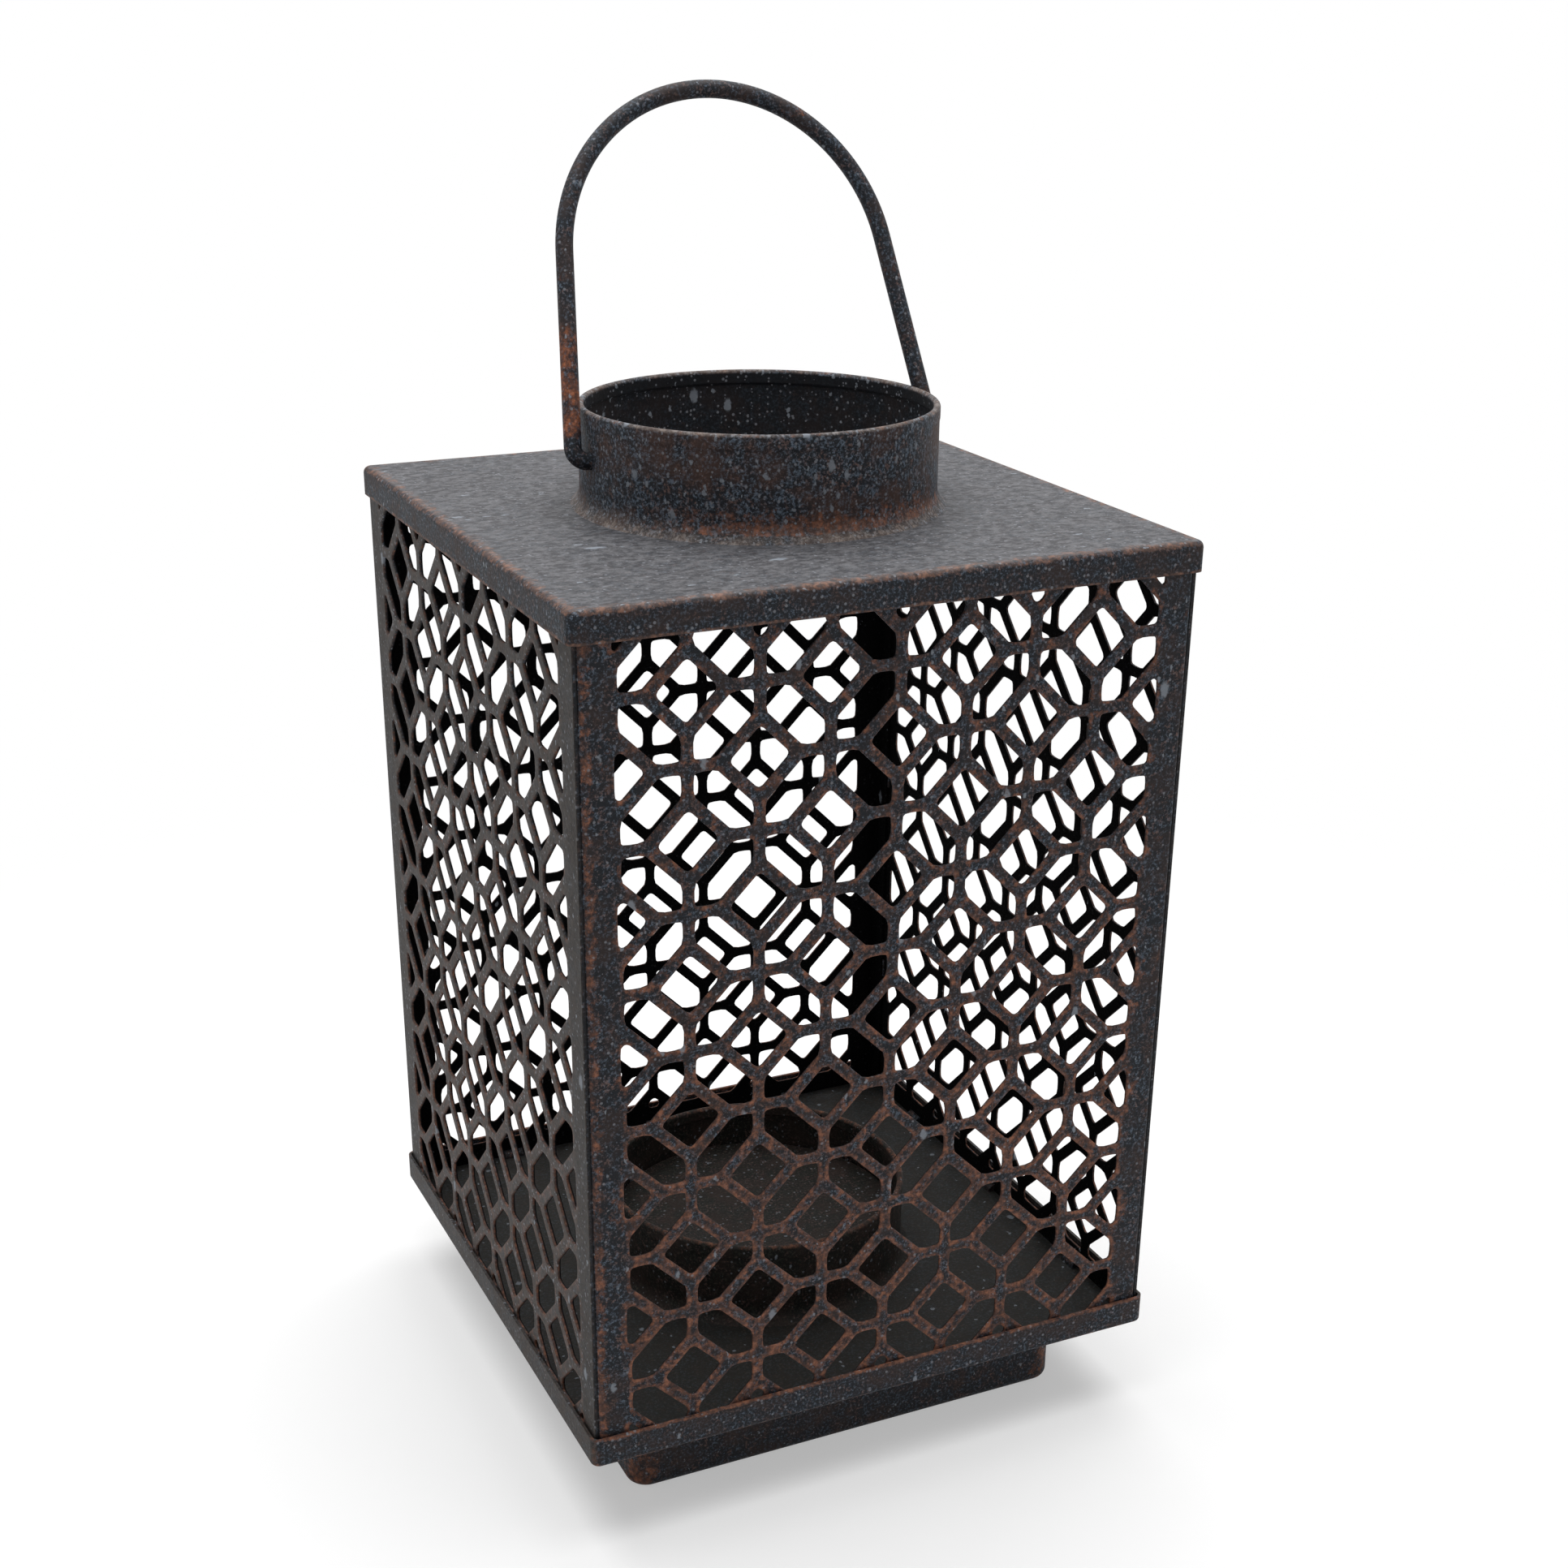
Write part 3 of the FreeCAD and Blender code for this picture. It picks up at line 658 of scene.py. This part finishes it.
# the front panel's shape turned by half a turn makes the back one, and the
# flat shape turned by a quarter either way makes the sides
def addPanels():
    folded, flat = frontFacing(True), frontFacing(False)
    turned = {"frontPanel": (folded, 1, 0), "rightPanel": (flat, 0, 1), "backPanel": (folded, -1, 0),
              "leftPanel": (flat, 0, -1)}
    for name, ((points, quads, marks), cosine, sine) in turned.items():
        x, y, z = points.T
        places = np.column_stack([cosine * x - sine * y, sine * x + cosine * y, z])
        obj = addSurface(name, places, quads, marks, "panel_paint", sootyInside)
        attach(obj, "lantern")
        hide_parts(name.replace("Panel", "_panel"))


addPanels()
print("panels made")


# the bail, in millimetres and degrees

bail = {
    "rod": 4.5, "pivotLevel": 264.53, "collarRadius": 46.5, "sheet": 0.8, "pinReach": 4.2, "bend": 3.4, "rise": 46.8,
    "tilt": 6.9, "lean": 22.0, "rimLevel": 12.0, "rimOut": 0.15, "clearance": 0.5, "around": 28, "endRound": 0.4,
    "pinSteps": 6, "bendSteps": 13, "legSteps": 15, "crownSteps": 39,
}


# the rod's middle line in one plane: pin, bend, leaning leg, and half of the
# crown's arc, then the same mirrored
def bailLine():
    tilt = math.radians(bail["tilt"])
    rimSide = bail["collarRadius"] + bail["rimOut"] + bail["clearance"] + bail["rod"] / 2 / math.cos(tilt)
    offset = rimSide * math.cos(tilt) + bail["rimLevel"] * math.sin(tilt)
    crown = offset - bail["rise"] * math.sin(tilt)
    bendX = (offset - bail["bend"] * (1 + math.sin(tilt))) / math.cos(tilt)
    turn = np.linspace(-math.pi / 2, tilt, bail["bendSteps"] + 1)
    curve = np.column_stack([bendX + bail["bend"] * np.cos(turn), bail["bend"] * (1 + np.sin(turn))])
    pinEnd = [bail["collarRadius"] - bail["sheet"] - bail["pinReach"], 0.0]
    pin = np.linspace(pinEnd, curve[0], bail["pinSteps"] + 1)[:-1]
    arc = np.linspace(tilt, math.pi / 2, bail["crownSteps"] + 1)
    top = np.column_stack([crown * np.cos(arc), bail["rise"] + crown * np.sin(arc)])
    leg = np.linspace(curve[-1], top[0], bail["legSteps"] + 1)[1:-1]
    half = np.vstack([pin, curve, leg, top])
    return np.vstack([half, half[-2::-1] * [-1, 1]])


# a circle carried along the line, in the plane across it, with rounded ends,
# then leaned back about the pins
def addBail():
    line = bailLine()
    tangent = np.gradient(line, axis=0)
    tangent /= np.linalg.norm(tangent, axis=1)[:, None]
    end = bail["endRound"]
    line = np.vstack([line[0], line[0], line[0] + tangent[0] * end, line[1:-1], line[-1] - tangent[-1] * end,
                      line[-1], line[-1]])
    tangent = np.vstack([tangent[:1], tangent[:1], tangent, tangent[-1:], tangent[-1:]])
    radius = np.full(len(line), bail["rod"] / 2)
    radius[[0, -1]] = 0.0
    radius[[1, -2]] -= end
    angle = np.linspace(0, 2 * np.pi, bail["around"], endpoint=False)
    outward = np.column_stack([tangent[:, 1], -tangent[:, 0]])
    x = line[:, :1] + radius[:, None] * np.cos(angle) * outward[:, :1]
    z = line[:, 1:] + radius[:, None] * np.cos(angle) * outward[:, 1:]
    y = radius[:, None] * np.sin(angle) * np.ones_like(x)
    lean = math.radians(bail["lean"])
    leaned = [x, y * math.cos(lean) + z * math.sin(lean), z * math.cos(lean) - y * math.sin(lean)]
    points = np.stack(leaned, axis=-1).reshape(-1, 3)
    points[:, 2] += bail["pivotLevel"]
    quads = gridQuads(len(line), bail["around"], closed=True)
    obj = addSurface("bailRod", points, quads, {}, "bail_paint")
    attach(obj, "handle")
    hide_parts("bail_handle")


addBail()
print("bail made")


# floor, light and camera, in metres, watts and degrees

studio = {
    "floorColour": (0.93, 0.93, 0.93, 1.0), "floorSize": 8.0, "whiteNear": 0.4, "worldStrength": 0.3,
    "shadowReach": (160.0, 500.0),  # in millimetres
}
lamps = {
    "topSoftbox": {"place": (0.05, 0.15, 1.3), "target": (0, 0, 0.1), "size": 1.4, "power": 26.0},
    "leftSoftbox": {"place": (-1.3, 0.1, 0.5), "target": (0, 0, 0.15), "size": 0.9, "power": 0.3},
}


# 1 for the camera's rays and for reflections, 0 for the light on the object
def seenRays(tree):
    path = addNode(tree, "ShaderNodeLightPath").outputs
    return most(tree, path["Is Camera Ray"], path["Is Glossy Ray"], path["Is Transmission Ray"])


# near the object the floor is mostly a plain diffuse one that takes its shadow,
# mixed for the camera and for reflections with a share of white glow that is
# painted light and makes the shadow fainter; farther out it fades to all white
def floorMaterial():
    material = bpy.data.materials.new("paleFloor")
    material.use_nodes = True
    tree = material.node_tree
    tree.nodes.clear()
    far = ramp(tree, objectPlace(tree)["radius"], *studio["shadowReach"], studio["whiteNear"], 1.0)
    diffuse = addNode(tree, "ShaderNodeBsdfDiffuse", {"Color": studio["floorColour"]})
    white = addNode(tree, "ShaderNodeEmission", {"Color": (1, 1, 1, 1), "Strength": 1.0})
    both = addNode(tree, "ShaderNodeMixShader", {0: times(tree, far, seenRays(tree))})
    tree.links.new(diffuse.outputs[0], both.inputs[1])
    tree.links.new(white.outputs[0], both.inputs[2])
    addNode(tree, "ShaderNodeOutputMaterial", {"Surface": both.outputs[0]})
    return material


# one square at the level of the foot's underside
def addFloor():
    mesh = bpy.data.meshes.new("floor")
    half = studio["floorSize"] / 2
    mesh.from_pydata([(-half, -half, 0), (half, -half, 0), (half, half, 0), (-half, half, 0)], [], [(0, 1, 2, 3)])
    floor = bpy.data.objects.new("floor", mesh)
    bpy.context.scene.collection.objects.link(floor)
    mesh.materials.append(floorMaterial())


# a square area light turned from its place to its target
def addLamp(name, place, target, size, power):
    light = bpy.data.lights.new(name, "AREA")
    light.shape = "SQUARE"
    light.size = size
    light.energy = power
    obj = bpy.data.objects.new(name, light)
    bpy.context.scene.collection.objects.link(obj)
    obj.location = place
    obj.rotation_euler = (Vector(target) - Vector(place)).to_track_quat("-Z", "Y").to_euler()


# the world is white to the camera and to reflections, and gives a weak even light
def setWorld():
    world = bpy.data.worlds.new("studio")
    bpy.context.scene.world = world
    world.use_nodes = True
    tree = world.node_tree
    tree.nodes.clear()
    strength = ramp(tree, seenRays(tree), 0.0, 1.0, studio["worldStrength"], 1.0)
    shade = addNode(tree, "ShaderNodeBackground", {"Color": (1, 1, 1, 1), "Strength": strength})
    addNode(tree, "ShaderNodeOutputWorld", {"Surface": shade.outputs[0]})


addFloor()
setWorld()
for name, lamp in lamps.items():
    addLamp(name, **lamp)

# the photograph's viewpoint: place, turn and focal length fitted to the object's corners
viewpoint = {
    "place": (-0.2422, -0.5311, 0.3816), "azimuth": -25.273, "elevation": 23.573, "roll": 0.527,
    "focalPixels": 2771.0, "framePixels": 1932.0, "centreRow": 1151.2, "sensor": 36.0,
}


# the camera looks along azimuth and elevation, is rolled about that line, and
# is shifted by the frame's centre row
def addCamera():
    azimuth, elevation, roll = (math.radians(viewpoint[key]) for key in ("azimuth", "elevation", "roll"))
    back = Vector((math.sin(azimuth) * math.cos(elevation), -math.cos(azimuth) * math.cos(elevation),
                   math.sin(elevation)))
    right = (-back).cross(Vector((0, 0, 1))).normalized()
    up = right.cross(-back)
    rolledRight = right * math.cos(roll) + up * math.sin(roll)
    rolledUp = up * math.cos(roll) - right * math.sin(roll)
    data = bpy.data.cameras.new("view")
    data.sensor_width = viewpoint["sensor"]
    data.lens = viewpoint["focalPixels"] / viewpoint["framePixels"] * data.sensor_width
    data.shift_y = (viewpoint["centreRow"] - viewpoint["framePixels"] / 2) / viewpoint["framePixels"]
    camera = bpy.data.objects.new("view", data)
    bpy.context.scene.collection.objects.link(camera)
    turn = Matrix((rolledRight, rolledUp, back)).transposed()
    camera.matrix_world = Matrix.Translation(viewpoint["place"]) @ turn.to_4x4()
    bpy.context.scene.camera = camera


addCamera()
bpy.context.scene.view_settings.view_transform = "Standard"
print("studio ready")
